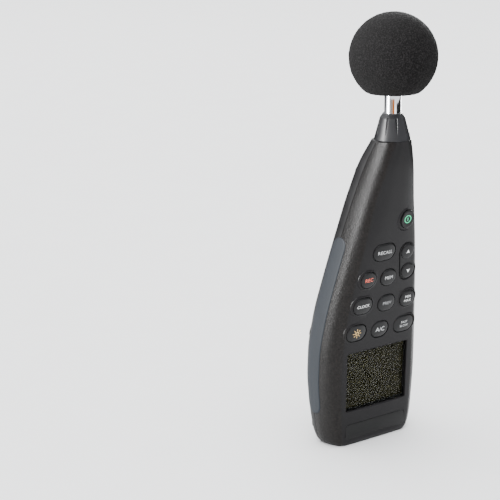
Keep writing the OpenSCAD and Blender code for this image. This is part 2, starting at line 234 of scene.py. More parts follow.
class Paint:
    def __init__(self, name, **plain):
        self.material = bpy.data.materials.new(name)
        self.material.use_nodes = True
        self.tree = self.material.node_tree
        self.shader = self.tree.nodes["Principled BSDF"]
        for key, value in plain.items():
            self.shader.inputs[socketNames[key]].default_value = value

    def node(self, kind, settings=None, inputs=None, output=None):
        made = self.tree.nodes.new("ShaderNode" + kind)
        for key, value in (settings or {}).items():
            if key == "stops":
                ramp = made.color_ramp.elements
                while len(ramp) < len(value):
                    ramp.new(0.5)
                for stop, (position, colour) in zip(ramp, value):
                    stop.position = position
                    stop.color = colour
            else:
                setattr(made, key, value)
        for key, value in (inputs or {}).items():
            self.feed(made, key, value)
        if output:
            return Signal(self, made.outputs[output])
        return Signal(self, next(s for s in made.outputs if s.enabled))

    def feed(self, node, key, value):
        if isinstance(key, int):
            socket = node.inputs[key]
        else:
            socket = next(s for s in node.inputs if s.enabled and s.name == key)
        if isinstance(value, Signal):
            self.tree.links.new(value.socket, socket)
        else:
            socket.default_value = value

    def set(self, key, value):
        self.feed(self.shader, key, value)

    def here(self):
        return self.node("TexCoord", output="Object")

    def noise(self, size, detail=2.0, roughness=0.5, stretch=None):
        # a noise whose features are about size millimetres across
        where = self.here()
        if stretch:
            where = self.node("Mapping", inputs={"Vector": where, "Scale": stretch})
        return self.node("TexNoise", inputs={"Vector": where, "Scale": 1000.0 / size,
            "Detail": detail, "Roughness": roughness}, output="Fac")

    def cells(self, size, feature="F1"):
        return self.node("TexVoronoi", {"feature": feature},
            {"Vector": self.here(), "Scale": 1000.0 / size}, output="Distance")

    def spread(self, signal, low, high, to=(0.0, 1.0)):
        return self.node("MapRange", inputs={"Value": signal, "From Min": low, "From Max": high,
            "To Min": to[0], "To Max": to[1]})

    def blend(self, factor, a, b):
        return self.node("Mix", {"data_type": "RGBA"}, {"Factor": factor, "A": a, "B": b})

    def bump(self, height, strength, distance):
        self.set("Normal", self.node("Bump", inputs={"Height": height, "Strength": strength,
            "Distance": distance * mm}))


socketNames = {"roughness": "Roughness", "metallic": "Metallic", "coat": "Coat Weight",
    "coatRoughness": "Coat Roughness", "sheen": "Sheen Weight",
    "sheenRoughness": "Sheen Roughness", "specular": "Specular IOR Level"}


def tint(red, green, blue):
    # a colour given as it looks on a screen, 0 to 255
    def linear(c):
        c = c / 255
        return c / 12.92 if c <= 0.04045 else ((c + 0.055) / 1.055) ** 2.4
    return (linear(red), linear(green), linear(blue), 1.0)


def shade(colour, share):
    return (colour[0] * share, colour[1] * share, colour[2] * share, 1.0)


# The case's shape, in millimetres: height, front y, panel half-width, panel edge y,
# crease half-width, crease y, parting half-width, parting y, back y
caseShape = {
    "stations": [
        (0, -15, 30, -14.5, 37, -7, 38.5, 2.5, 11.5),
        (3, -17, 32, -16, 40, -8, 41.5, 3, 16),
        (10, -17.7, 33.5, -16.8, 42.8, -8.2, 44, 3.5, 20),
        (23, -18.1, 34.5, -17.5, 44.5, -8.5, 45.4, 4.1, 24),
        (53, -19.1, 35.5, -18.5, 46, -10, 46.7, 5.2, 29),
        (83, -20.7, 35, -20, 45.7, -10.5, 46.5, 3.5, 27.6),
        (113, -25.2, 33, -24, 42.4, -13.6, 43.5, -1.2, 23),
        (143, -30.5, 29, -29, 37, -19.5, 38.3, -6.5, 15.4),
        (173, -35.9, 23.8, -34.2, 31, -25.7, 32.5, -12.2, 8),
        (203, -41.2, 19, -38, 24.7, -30.6, 26.5, -18.9, 1),
        (233, -46.7, 12.7, -45.1, 18.6, -36.5, 19.5, -26, -8.2),
        (253, -49.2, 8, -46.7, 12.5, -41.5, 14.2, -34, -20.8)],
    "top": 253.0,
    "wall": 2.0,
    "footLift": 0.35,         # how far the foot rises on the parting line
    "rimDrop": 0.25,          # how far the top's rim is rounded down
    "backPower": 2.6,
    "sideBulge": 0.45,
    "panelCorner": 1.7,       # how far the panel's edge is rounded
    "creaseFoot": 6.5,        # how far the ridge is rounded low down
    "creaseNeck": 1.0,        # and on the neck
    "seamWidth": 0.3,
    "seamDepth": 0.5,
    "seamFade": 2.0,          # over which the groove and the bulge fade at the foot and the top
}
frontY, panelW, panelY, creaseW, creaseY, partW, partY, backY = range(1, 9)
micY = -35.0


def stationValue(k, h):
    rows = caseShape["stations"]
    for low, high in zip(rows, rows[1:]):
        if h <= high[0]:
            share = max(0.0, (h - low[0]) / (high[0] - low[0]))
            return low[k] + (high[k] - low[k]) * share
    return rows[-1][k]


def sectionValue(k, h):
    # a running mean, so that the stations' slopes run into each other
    reach = 1.41 * max(0.0, min(8.0, 0.4 * h, 0.4 * (caseShape["top"] - h)))
    total = sum((5 - abs(i)) * stationValue(k, h + reach * i / 4) for i in range(-4, 5))
    return total / 25


def mixed(a, b, share):
    return (a[0] + (b[0] - a[0]) * share, a[1] + (b[1] - a[1]) * share)


def bend(a, corner, b, share):
    return mixed(mixed(a, corner, share), mixed(corner, b, share), share)


def gap(a, b):
    return math.hypot(a[0] - b[0], a[1] - b[1])


def easeStep(low, high, value):
    share = min(1.0, max(0.0, (value - low) / (high - low)))
    return share * share * (3 - 2 * share)


def edgeFade(h):
    return min(1.0, min(h, caseShape["top"] - h) / caseShape["seamFade"])


def seamLip(h):
    return caseShape["seamDepth"] * edgeFade(h)


def sidePoint(h, share):
    # from the crease to the parting line
    cw, cy = sectionValue(creaseW, h), sectionValue(creaseY, h)
    xw, xy = sectionValue(partW, h), sectionValue(partY, h)
    bulge = caseShape["sideBulge"] * edgeFade(h) * 4 * share * (1 - share)
    return (cw + (xw - cw) * share + bulge, cy + (xy - cy) * share)


def frontProfile(h):
    pw, py = sectionValue(panelW, h), sectionValue(panelY, h)
    fy = sectionValue(frontY, h)
    edge = (pw, py)
    crease = (sectionValue(creaseW, h), sectionValue(creaseY, h))
    part = (sectionValue(partW, h), sectionValue(partY, h))
    middle = mixed(edge, crease, 0.5)
    control = (middle[0] + 1.2, middle[1] - 1.2)
    start = 1 - caseShape["panelCorner"] / pw
    points = [(pw * start * i / 12, fy + (py - fy) * (start * i / 12) ** 3) for i in range(13)]
    slant, side = gap(edge, crease), gap(crease, part)
    first = caseShape["panelCorner"] / slant
    neck = easeStep(45, 185, h)
    rounding = caseShape["creaseFoot"] + (caseShape["creaseNeck"] - caseShape["creaseFoot"]) * neck
    last = rounding / slant
    after = bend(edge, control, crease, first)
    points += [bend(points[-1], edge, after, i / 4) for i in range(1, 5)]
    points += [bend(edge, control, crease, first + (1 - last - first) * i / 5) for i in range(1, 6)]
    begin, end = points[-1], sidePoint(h, rounding / side)
    points += [bend(begin, crease, end, i / 7) for i in range(1, 8)]
    stop = 1 - caseShape["seamWidth"] / side
    past = rounding / side
    points += [sidePoint(h, past + (stop - past) * i / 7) for i in range(1, 8)]
    return points + [(part[0] - seamLip(h), part[1])]


def backProfile(h):
    xw, xy = sectionValue(partW, h), sectionValue(partY, h)
    deep = sectionValue(backY, h) - xy
    power = caseShape["backPower"]
    points = [(xw - seamLip(h), xy), (xw - 0.01, xy + caseShape["seamWidth"])]
    for i in range(1, 25):
        angle = math.pi / 2 * i / 24
        c, s = math.cos(angle), math.sin(angle)
        reach = (abs(c) ** power + s ** power) ** (-1 / power)
        points.append((xw * reach * c, xy + deep * reach * s))
    return points


def backDepth(x, h):
    xw, xy = sectionValue(partW, h), sectionValue(partY, h)
    share = max(0.0, 1 - (abs(x) / xw) ** caseShape["backPower"])
    return xy + (sectionValue(backY, h) - xy) * share ** (1 / caseShape["backPower"])


def sideWidth(y, h):
    xy = sectionValue(partY, h)
    if y > xy:
        share = (y - xy) / (sectionValue(backY, h) - xy)
        power = caseShape["backPower"]
        return sectionValue(partW, h) * max(0.0, 1 - share ** power) ** (1 / power)
    cy = sectionValue(creaseY, h)
    return sidePoint(h, max(0.0, (y - cy) / (xy - cy)))[0]


sheetRows = [("foot", 1.0), ("foot", 0.96), ("foot", 0.6), ("foot", 0.25)]
sheetRows += [("wall", h) for h in (0, 0.5, 1.2, 2.2, 3.4, 5, 7, 9.5, 12.5, 16, 20)]
sheetRows += [("wall", 24 + 3.7 * i) for i in range(60)]
sheetRows += [("wall", h) for h in (245.5, 248, 250, 251.4, 252.3)]
sheetRows += [("rim", 0.975), ("rim", 0.92), ("rim", 0.82), ("rim", 0.72)]


def caseSheet(name, profile, facing):
    rows = {}
    for kind, value in sheetRows:
        h = {"foot": 0.0, "wall": value, "rim": caseShape["top"]}[kind]
        points = profile(h)
        if kind == "foot":
            parting = sectionValue(partY, 0)
            points = [(x, y + (parting - y) * value, caseShape["footLift"] if value == 1.0 else 0.0)
                for x, y in points]
        elif kind == "rim":
            z = caseShape["top"] - (caseShape["rimDrop"] if value > 0.95 else 0.0)
            points = [(x * value, micY + (y - micY) * value, z) for x, y in points]
        else:
            points = [(x, y, h) for x, y in points]
        rows[len(rows)] = points
    if facing < 0:                    # the front's profile runs out from the middle
        rows = {i: [(-x, y, z) for x, y, z in points[::-1]] + points[1:]
                for i, points in rows.items()}
    else:                             # the back's runs in to the middle
        rows = {i: points + [(-x, y, z) for x, y, z in points[-2::-1]]
                for i, points in rows.items()}
    count = len(rows[0]) - 1
    sheet = curvedSheet(name, count, len(rows) - 1, lambda column, row: rows[row][column])
    return useModifier(sheet, "SOLIDIFY", thickness=caseShape["wall"] * mm, offset=-1)


# Materials

def mouldedPlastic(name, colour, grain=0.55, depth=0.05, rough=0.5, mottle=0.16, coat=0.0):
    paint = Paint(name, specular=0.22, coat=coat, coatRoughness=0.3)
    fine, wide = paint.noise(grain, 3.0, 0.6), paint.noise(9.0, 3.0)
    low, high = shade(colour, 1 - mottle), shade(colour, 1 + mottle)
    paint.set("Base Color", paint.blend(fine * 0.7 + wide * 0.3, low, high))
    paint.set("Roughness", paint.spread(wide, 0.3, 0.7, (rough - 0.05, rough + 0.05)))
    paint.bump(fine, 0.6, depth)
    return paint.material


def softRubber(name, colour, rough=0.55, grain=0.3, depth=0.02):
    paint = Paint(name, specular=0.22, sheen=0.05, sheenRoughness=0.4)
    fine, wide = paint.noise(grain, 2.0), paint.noise(6.0, 2.0)
    paint.set("Base Color", paint.blend(wide, shade(colour, 0.9), shade(colour, 1.1)))
    paint.set("Roughness", paint.spread(fine, 0.3, 0.7, (rough - 0.06, rough + 0.06)))
    paint.bump(fine, 0.5, depth)
    return paint.material


def brightMetal(name, colour, rough=0.12, grain=0.4, stretch=(1.0, 1.0, 1.0)):
    paint = Paint(name, metallic=1.0)
    lines = paint.noise(grain, 2.0, 0.5, stretch)
    paint.set("Base Color", paint.blend(lines, shade(colour, 0.94), shade(colour, 1.04)))
    paint.set("Roughness", paint.spread(lines, 0.3, 0.7, (rough * 0.8, rough * 1.25)))
    paint.bump(lines, 0.25, 0.004)
    return paint.material


def printedInk(name, colour):
    paint = Paint(name, roughness=0.5, specular=0.4)
    paint.set("Base Color", paint.blend(paint.noise(0.5), shade(colour, 0.92), shade(colour, 1.05)))
    return paint.material


def boardMaterial(name, colour):
    paint = Paint(name, roughness=0.35, specular=0.5, coat=0.4, coatRoughness=0.2)
    grid = paint.node("TexBrick", {"offset": 0.5}, {"Vector": paint.here(), "Scale": 160.0,
        "Color1": shade(colour, 0.9), "Color2": shade(colour, 1.15), "Mortar": shade(colour, 1.9)})
    paint.set("Base Color", grid)
    paint.bump(paint.noise(1.2), 0.3, 0.03)
    return paint.material


caseColour = {
    "panel": tint(22, 21, 22),
    # a little darker than the panel, partly as painted shade on the band that falls away from the
    # panel
    "band": tint(20, 18, 17),
    "back": tint(19, 18, 19),
}


def casePlastic():
    # the panel is smoother and a little lighter than the grained band round it; the band's darker
    # tone is partly painted shade, and its strong speckle paints glints and shade onto the real
    # grain
    paint = Paint("case_plastic_front", specular=0.14)
    panel = paint.node("Attribute", {"attribute_name": "panel"}, output="Fac")
    fine, mottle = paint.noise(0.5, 3.0, 0.6), paint.noise(1.6, 3.0, 0.65)
    wide = paint.noise(14.0, 2.0)
    spots = fine * 0.5 + mottle * 0.5
    # painted glints and shade: the band's speckle is spread far lighter and darker than the grain's
    # own tone
    band = paint.blend(paint.spread(spots, 0.35, 0.65), shade(caseColour["band"], 0.35),
        shade(caseColour["band"], 2.2))
    face = paint.blend(paint.spread(spots, 0.2, 0.8), shade(caseColour["panel"], 0.88),
        shade(caseColour["panel"], 1.12))
    paint.set("Base Color", paint.blend(panel, band, face))
    paint.set("Roughness", paint.spread(wide, 0.3, 0.7, (0.24, 0.3)) + mottle * 0.18)
    paint.bump(fine * (1.2 - panel * 0.9) + mottle * (1.9 - panel * 1.7), 0.8, 0.16)
    return paint.material


def foamMaterial():
    paint = Paint("open_foam", roughness=0.9, specular=0.12)
    pores, clumps = paint.cells(0.85), paint.noise(2.6, 3.0, 0.6)
    # painted light: the dark pore hollows are painted shade and the bright peaks are painted
    # highlights on the foam's struts
    light = paint.spread(pores, 0.35, 0.8)
    base = tint(14, 13, 13)
    paint.set("Base Color",
        paint.blend(light * 0.8 + clumps * 0.1, shade(base, 0.15), shade(base, 4.0)))
    paint.bump(pores * 0.8 + clumps * 0.4, 0.9, 0.5)
    return paint.material


def displayMaterial():
    paint = Paint("display_glass_face", specular=0.06)
    cloud = paint.noise(30.0, 1.0)
    paint.set("Base Color", paint.blend(cloud, tint(26, 25, 14), tint(31, 30, 18)))
    paint.set("Roughness", paint.spread(cloud, 0.3, 0.7, (0.3, 0.4)))
    return paint.material


def windowMaterial():
    paint = Paint("clear_window", roughness=0.05, specular=0.6)
    smear = paint.noise(12.0, 2.0)
    paint.set("Base Color", paint.blend(smear, tint(40, 41, 40), tint(50, 51, 50)))
    paint.set("Alpha", paint.spread(smear, 0.3, 0.7, (0.02, 0.04)))
    return paint.material


finishes = {
    "front": casePlastic(),
    "back": mouldedPlastic("case_plastic_back", caseColour["back"], 0.55, 0.06, 0.48),
    "grip": softRubber("grip_rubber_blue_grey", tint(24, 31, 39), 0.62, 0.4, 0.03),
    "key": softRubber("key_rubber_satin", tint(9, 9, 10), 0.38, 0.35, 0.015),
    "collar": mouldedPlastic("collar_satin", tint(31, 31, 33), 0.4, 0.02, 0.42, 0.06, 0.1),
    "chrome": brightMetal("polished_stem", (0.86, 0.86, 0.88, 1), 0.07, 0.5, (1, 1, 0.05)),
    "capsule": brightMetal("capsule_nickel", (0.66, 0.66, 0.67, 1), 0.22, 0.4, (1, 1, 0.1)),
    "foam": foamMaterial(),
    "display": displayMaterial(),
    "window": windowMaterial(),
    "mask": mouldedPlastic("printed_mask", tint(24, 25, 24), 0.5, 0.01, 0.35, 0.08),
    "label": mouldedPlastic("label_film_blank", tint(13, 13, 13), 0.7, 0.008, 0.34, 0.06),
    "black": mouldedPlastic("inner_black", tint(30, 30, 31), 0.6, 0.04, 0.5, 0.1),
    "board": boardMaterial("circuit_board", tint(40, 98, 62)),
    "light": mouldedPlastic("light_spreader", tint(226, 228, 216), 0.8, 0.01, 0.3, 0.03, 0.2),
    "zebra": softRubber("contact_strip", tint(120, 108, 102), 0.6),
    "mat": softRubber("keypad_silicone", tint(58, 58, 61), 0.6),
    "screw": brightMetal("screw_steel", (0.46, 0.47, 0.49, 1), 0.28, 0.3, (1, 0.2, 1)),
    "jacket": mouldedPlastic("battery_jacket", tint(60, 92, 132), 1.5, 0.01, 0.3, 0.06, 0.4),
    "brass": brightMetal("insert_brass", (0.72, 0.5, 0.2, 1), 0.25, 0.4, (1, 0.2, 1)),
    "socket": brightMetal("socket_shell", (0.3, 0.3, 0.31, 1), 0.4, 0.5),
    "blue": mouldedPlastic("trimmer_blue", tint(42, 78, 132), 0.6, 0.01, 0.35, 0.06),
    "white": mouldedPlastic("trimmer_white", tint(226, 224, 216), 0.6, 0.01, 0.4, 0.04),
    "inkWhite": printedInk("legend_white", tint(236, 236, 234)),
    "inkGrey": printedInk("legend_grey", tint(196, 197, 197)),
    "inkDim": printedInk("legend_dim", tint(150, 151, 152)),
    "inkRed": printedInk("legend_red", tint(246, 110, 88)),
    "inkAmber": printedInk("legend_amber", tint(240, 200, 130)),
    "inkGreen": printedInk("legend_green", tint(50, 200, 142)),
}
print("materials ready")


# Case halves

keyPlane = {"tilt": 10.15, "height": 140.0, "depth": -30.0}
displayPlane = {"tilt": 2.4, "origin": (0, -19.25, 55.3)}
labelPlane = {"tilt": -2.0, "origin": (0, -17.8, 12.6)}
caseKeys = {                      # x, height, width, height of the cap
    "power": (13.2, 188.5, 14.6, 14.6), "recall": (-5.8, 164, 21.2, 14),
    "up": (18.2, 160.4, 12.6, 12.6), "down": (20.8, 143.6, 12.6, 12.6),
    "record": (-18.5, 142.7, 14.4, 13.4), "memory": (1.3, 141.5, 15, 13.8),
    "clock": (-20.8, 120.8, 18.4, 13.8), "previous": (2.8, 119.2, 17, 13.8),
    "minmax": (24.1, 118.9, 14.8, 13.8), "light": (-24, 98, 19.4, 14),
    "weighting": (-0.6, 96.8, 17, 14), "response": (24, 96.5, 20.8, 14)}
frontCuts = {
    "keyGap": 0.55, "bossGrow": 2.4, "bossFoot": -2.2, "bossTop": -1.33,
    "bossSteps": [(0.25, 0.75), (0.35, 0.35), (0.4, 0.2), (0.5, 0.13)],
    "bossed": ("record", "clock", "light", "down", "minmax", "response"),
    "window": (60.6, 49.6, 1.2), "windowBevel": (1.8, 1.5),    # width, height, corner
    "label": (61.0, 12.4, 3.0), "labelGap": 0.4,
    "rocker": 14.6, "rockerTop": -0.75, "rockerFloor": -1.55, "rockerGap": 0.55,
    "rockerSlope": (1.4, 1.6),
    "dishRadius": 10.2, "powerOval": 0.86,
}


def onPanel(piece, x, h):
    depth = keyPlane["depth"] - math.tan(math.radians(keyPlane["tilt"])) * (h - keyPlane["height"])
    return standAt(piece, (x, depth, h), keyPlane["tilt"])


frontShell = caseSheet("front_case", frontProfile, -1)
bosses = []
for name in frontCuts["bossed"]:  # where the panel falls away, each key keeps a raised ring
    x, h, width, height = caseKeys[name]
    grow = frontCuts["bossGrow"]
    ring = outlinePrism("boss", width + 2 * grow, height + 2 * grow, height / 2 + grow,
        frontCuts["bossFoot"], frontCuts["bossTop"], frontCuts["bossSteps"])
    bosses.append(onPanel(ring, x, h))
cutWith(frontShell, joinInto(bosses[0], bosses[1:]), "UNION")

cutters = []
for name, (x, h, width, height) in caseKeys.items():
    grow = frontCuts["keyGap"]
    hole = outlinePrism("hole", width + 2 * grow, height + 2 * grow, height / 2 + grow, -6, 6)
    if name == "power":
        hole.scale.x = frontCuts["powerOval"]
    cutters.append(onPanel(hole, x, h))
cutWith(frontShell, joinInto(cutters[0], cutters[1:]))

up, down = caseKeys["up"], caseKeys["down"]
tiltShare = math.cos(math.radians(keyPlane["tilt"]))
run = math.hypot(down[0] - up[0], (up[1] - down[1]) / tiltShare)
wide = frontCuts["rocker"]
def rockerPrism(name, grow, low, high, steps=(), side=1):
    prism = outlinePrism(name, run + wide + 2 * grow, wide + 2 * grow, wide / 2 + grow, low, high,
        steps, side)
    prism.rotation_euler = (0, 0, math.atan2(down[1] - up[1], (down[0] - up[0]) * tiltShare))
    applyPlace(prism)
    return onPanel(prism, (up[0] + down[0]) / 2, (up[1] + down[1]) / 2)


pocket = rockerPrism("pocket", frontCuts["rockerGap"], frontCuts["rockerFloor"], 4)
edge = rockerPrism("pocketEdge", frontCuts["rockerGap"] + frontCuts["rockerSlope"][0], 0.4, 4,
    [frontCuts["rockerSlope"]], -1)
dish = outlinePrism("dish", *[2 * frontCuts["dishRadius"]] * 2, frontCuts["dishRadius"],
    0.1, 4, [(0.7, 0.9), (1.0, -0.35)], -1)
onPanel(dish, *caseKeys["power"][:2])
cutWith(frontShell, edge)
cutWith(frontShell, joinInto(pocket, [dish]))

bezel = rockerPrism("arrow_bezel", 0, frontCuts["rockerFloor"] - 0.4, frontCuts["rockerTop"] - 0.4,
    [(0.15, 0.25), (0.25, 0.15)])
cutters = []
for x, h, width, height in (up, down):
    hole = outlinePrism("hole", width + 0.5, height + 0.5, height / 2 + 0.25, -6, 6)
    cutters.append(onPanel(hole, x, h))
cutWith(bezel, joinInto(cutters[0], cutters[1:]))

width, height, corner = frontCuts["window"]
bevel, drop = frontCuts["windowBevel"]
opening = outlinePrism("opening", width + 2 * bevel, height + 2 * bevel, corner + bevel, 0.9, 5,
    [(bevel, drop), (0, 6)], side=-1)
standAt(opening, displayPlane["origin"], displayPlane["tilt"])
width, height, corner = frontCuts["label"]
gapWidth = frontCuts["labelGap"]
recess = outlinePrism("recess", width + 2 * gapWidth, height + 2 * gapWidth, corner + gapWidth,
    -0.2, 4, [(gapWidth, 0.3), (0, 0.5)], side=-1)
standAt(recess, labelPlane["origin"], labelPlane["tilt"])
cutWith(frontShell, joinInto(opening, [recess]))
print("front case cut")


# Side grips, and the recess that each lies in

gripShape = {"middle": 101.0, "length": 149.0, "radius": 8.5, "proud": 0.5, "edge": 1.1,
    "deep": 1.2, "gap": 0.32}


def gripSheet(name, side, grow, lift):
    radius = gripShape["radius"] + grow
    half = gripShape["length"] / 2 + grow
    straight = half - radius
    heights = [-straight - radius * math.cos(math.pi / 2 * i / 12) for i in range(12)]
    heights += [-straight + 2 * straight * i / 34 for i in range(35)]
    heights += [-h for h in heights[11::-1]]
    columns = 22

    def place(column, row):
        along = heights[row]
        over = max(0.0, abs(along) - straight)
        reach = math.sqrt(max(0.0, radius * radius - over * over))
        across = math.sin(math.pi / 2 * (2 * column / columns - 1)) * reach
        h = gripShape["middle"] + along
        y = sectionValue(partY, h) + across
        inside = radius - math.hypot(over, across)
        return (side * (sideWidth(y, h) + lift(inside)), y, h)
    sheet = curvedSheet(name, columns, len(heights) - 1, place)
    if side < 0:
        activate(sheet)
        bpy.ops.object.mode_set(mode="EDIT")
        bpy.ops.mesh.select_all(action="SELECT")
        bpy.ops.mesh.flip_normals()
        leaveEdit()
    return sheet


def gripCrown(inside):
    edge = gripShape["edge"]
    if inside >= edge:
        return gripShape["proud"]
    return gripShape["proud"] - edge + math.sqrt(max(0.0, edge * edge - (edge - inside) ** 2))


backShell = caseSheet("back_case", backProfile, 1)
doorBlank = twin(backShell, "battery_cover")
for side, name in ((-1, "left"), (1, "right")):
    for shell in (frontShell, backShell):
        cutter = gripSheet("gripCutter", side, gripShape["gap"], lambda inside: 3.0)
        useModifier(cutter, "SOLIDIFY", thickness=4.4 * mm, offset=-1)
        cutWith(shell, cutter)
    grip = gripSheet("side_grip_" + name, side, 0.0, gripCrown)
    useModifier(grip, "SOLIDIFY", thickness=gripShape["deep"] * mm, offset=-1)
    finishPiece(grip, "case", finishes["grip"], ["grip_" + name], 50)
print("grips laid in")


# What opens in the back

backParts = {
    "bayLow": (-17.35, 6.6, 26.0), "bayHigh": (17.35, 60.0, 90.0), "bayWall": 1.3,
    "bayCutFrom": 10,
    "doorLow": (-17.0, 12.0, 26.7), "doorHigh": (17.0, 40.0, 87.6), "barrel": 1.45, "pin": 0.9,
    "pinReach": 18.1, "barrelDrop": 0.8,
    "screws": ((38.5, 14, 9.5), (-38.5, 14, 9.5), (39.3, 92, 12), (-39.3, 92, 12),
        (12.5, 226, -12.5), (-12.5, 226, -12.5)),
    "screwWell": 3.0, "insert": (103.0, 8.0, 22.6),
    "jackHole": (3.1, -9.5, 192), "trimHole": (2.3, -13, 206),
    "socketLow": (22, -9.2, 176.8), "socketHigh": (44, -0.8, 181.2),
    "ribs": 6, "ribLow": 31.0, "ribStep": 2.2, "ribWidth": 20.0,
}


def pocketLining(name, outline, floor, wall, hole=0.0):
    # a lined well whose rim follows the case's back; outline runs anticlockwise seen from behind
    count = len(outline)
    cx = sum(p[0] for p in outline) / count
    cz = sum(p[1] for p in outline) / count

    def place(column, row):
        x, z = outline[column % count]
        if row == 0:
            return (cx + (x - cx) * hole, floor, cz + (z - cz) * hole)
        if row == 1:
            return (x, floor, z)
        return (x, floor + (backDepth(x, z) - 0.5 - floor) * (row - 1) / 3, z)
    lining = curvedSheet(name, count, 4, place)
    return useModifier(lining, "SOLIDIFY", thickness=wall * mm, offset=-1)


def rectOutline(low, high, steps=14):
    x0, z0, x1, z1 = low[0], low[2], high[0], high[2]
    share = [i / steps for i in range(steps)]
    return ([(x1, z0 + (z1 - z0) * s) for s in share] + [(x1 + (x0 - x1) * s, z1) for s in share]
        + [(x0, z1 + (z0 - z1) * s) for s in share] + [(x0 + (x1 - x0) * s, z0) for s in share])


def ringOutline(x, z, radius, steps=28):
    turns = [2 * math.pi * i / steps for i in range(steps)]
    return [(x + radius * math.cos(turn), z + radius * math.sin(turn)) for turn in turns]


bayLow = (backParts["bayLow"][0], backParts["bayCutFrom"], backParts["bayLow"][2])
cutters = [block("bayCut", bayLow, backParts["bayHigh"])]
linings = [pocketLining("bay", rectOutline(backParts["bayLow"], backParts["bayHigh"]),
    backParts["bayLow"][1], backParts["bayWall"])]
for x, h, seat in backParts["screws"]:
    cutters.append(rod("screwCut", backParts["screwWell"], (x, seat, h), (x, 40, h), "y"))
    linings.append(pocketLining("well", ringOutline(x, h, backParts["screwWell"]), seat, 1.0, 0.4))
h, radius, seat = backParts["insert"]
cutters.append(rod("insertCut", radius, (0, seat, h), (0, 40, h), "y", 64))
linings.append(pocketLining("insertWell", ringOutline(0, h, radius, 56), seat, 1.2, 0.5))
cutWith(backShell, joinInto(cutters[0], cutters[1:]))
sideCuts = [block("socketCut", backParts["socketLow"], backParts["socketHigh"], 0.6)]
for hole in ("jackHole", "trimHole"):
    radius, y, z = backParts[hole]
    sideCuts.append(rod(hole, radius, (20, y, z), (40, y, z), "x"))
cutWith(backShell, joinInto(sideCuts[0], sideCuts[1:]))
joinInto(backShell, linings)

coverCut = block("coverCut", backParts["doorLow"], backParts["doorHigh"])
cover = cutWith(doorBlank, coverCut, "INTERSECT")
ribs = []
for i in range(backParts["ribs"]):
    z = backParts["ribLow"] + i * backParts["ribStep"]
    half = (backParts["ribWidth"] - i * 2.4) / 2
    y = backDepth(half, z)
    ribs.append(block("rib", (-half, y - 0.8, z - 0.5), (half, backDepth(0, z) + 0.35, z + 0.5),
        0.3))
hingeZ = backParts["doorHigh"][2]
hingeY = sectionValue(backY, hingeZ) - backParts["barrel"] - backParts["barrelDrop"]
for radius, reach in (("barrel", backParts["doorHigh"][0]), ("pin", backParts["pinReach"])):
    ribs.append(rod("hinge", backParts[radius], (-reach, hingeY, hingeZ),
        (reach, hingeY, hingeZ), "x"))
joinInto(cover, ribs)
print("back case cut")


def markPanel(shell):
    # 1 on the smooth panel, 0 on the grained band
    mark = shell.data.attributes.new("panel", "FLOAT", "POINT")
    for i, point in enumerate(shell.data.vertices):
        x, y, z = point.co / mm
        h = min(max(z, 0.0), caseShape["top"])
        inside = sectionValue(panelW, h) - abs(x)
        mark.data[i].value = easeStep(-0.6, 0.6, inside)


markPanel(frontShell)
finishPiece(frontShell, "case", finishes["front"], ["front_shell"], 32)
finishPiece(bezel, "case", finishes["key"], [], 40)
finishPiece(backShell, "case", finishes["back"], ["back_shell"], 32)
finishPiece(cover, "battery_door", finishes["back"], ["battery_door"], 32)
print("case halves finished")


# Keys and their printed marks

capShape = {"proud": 1.25, "skirt": -2.6, "flange": 0.8, "flangeGrow": 0.9, "domeRadius": 46.0,
    "rocker": 0.5, "powerProud": 0.35, "powerRadius": -60.0, "lift": 0.03, "ink": 0.02,
    "textSize": 3.7}
roundedEdge = ((0.07, 0.22), (0.12, 0.17), (0.18, 0.12), (0.28, 0.09), (0.4, 0.05))
keyMarks = {
    "power": ("inkGreen", [("ring", 0, 0, 3.3, 0.75), ("bar", 0, 0.0, 0.7, 2.7, 0)]),
    "recall": ("inkGrey", [("text", "RECALL", 0, 1.06)]),
    "up": ("inkWhite", [("arrow", 1)]),
    "down": ("inkWhite", [("arrow", -1)]),
    "record": ("inkRed", [("text", "REC", 0, 1.15)]),
    "memory": ("inkGrey", [("text", "MEM", 0, 1.05)]),
    "clock": ("inkWhite", [("text", "CLOCK", 0, 0.94)]),
    "previous": ("inkDim", [("text", "PREV", 0, 1.0)]),
    "minmax": ("inkWhite", [("text", "MIN", 1.75, 0.86), ("text", "MAX", -1.75, 0.86)]),
    "light": ("inkAmber", [("ring", 0, 0, 1.6, 0.5)] + [
        ("bar", 3.1 * math.cos(math.pi / 4 * i), 3.1 * math.sin(math.pi / 4 * i), 1.7, 0.42,
         math.pi / 4 * i) for i in range(8)]),
    "weighting": ("inkGrey", [("text", "A/C", 0, 1.4)]),
    "response": ("inkGrey", [("text", "FAST", 1.65, 0.78), ("text", "SLOW", -1.65, 0.78)]),
}


def textMark(words, y, size):
    deselectAll()
    bpy.ops.object.text_add(location=(0, 0, 0))
    label = bpy.context.view_layer.objects.active
    label.data.body = words
    label.data.align_x, label.data.align_y = "CENTER", "CENTER"
    label.data.size = capShape["textSize"] * size * mm
    label.data.space_character = 1.05
    label.data.resolution_u = 3
    bpy.ops.object.convert(target="MESH")
    label = bpy.context.view_layer.objects.active
    label.location = (0, y * mm, 0)
    return newest("mark")


def ringMark(x, y, radius, stroke):
    deselectAll()
    bpy.ops.mesh.primitive_circle_add(vertices=36, radius=radius * mm, fill_type="NGON",
        location=(x * mm, y * mm, 0))
    ring = newest("mark")
    pickFaces(ring, lambda c, n: True)
    bpy.ops.mesh.inset(thickness=stroke * mm)
    bpy.ops.mesh.delete(type="FACE")
    leaveEdit()
    return ring


def barMark(x, y, long, thick, turn):
    deselectAll()
    bpy.ops.mesh.primitive_plane_add(size=1, location=(x * mm, y * mm, 0), rotation=(0, 0, turn))
    bar = bpy.context.view_layer.objects.active
    bar.scale = (long * mm, thick * mm, 1)
    return newest("mark")


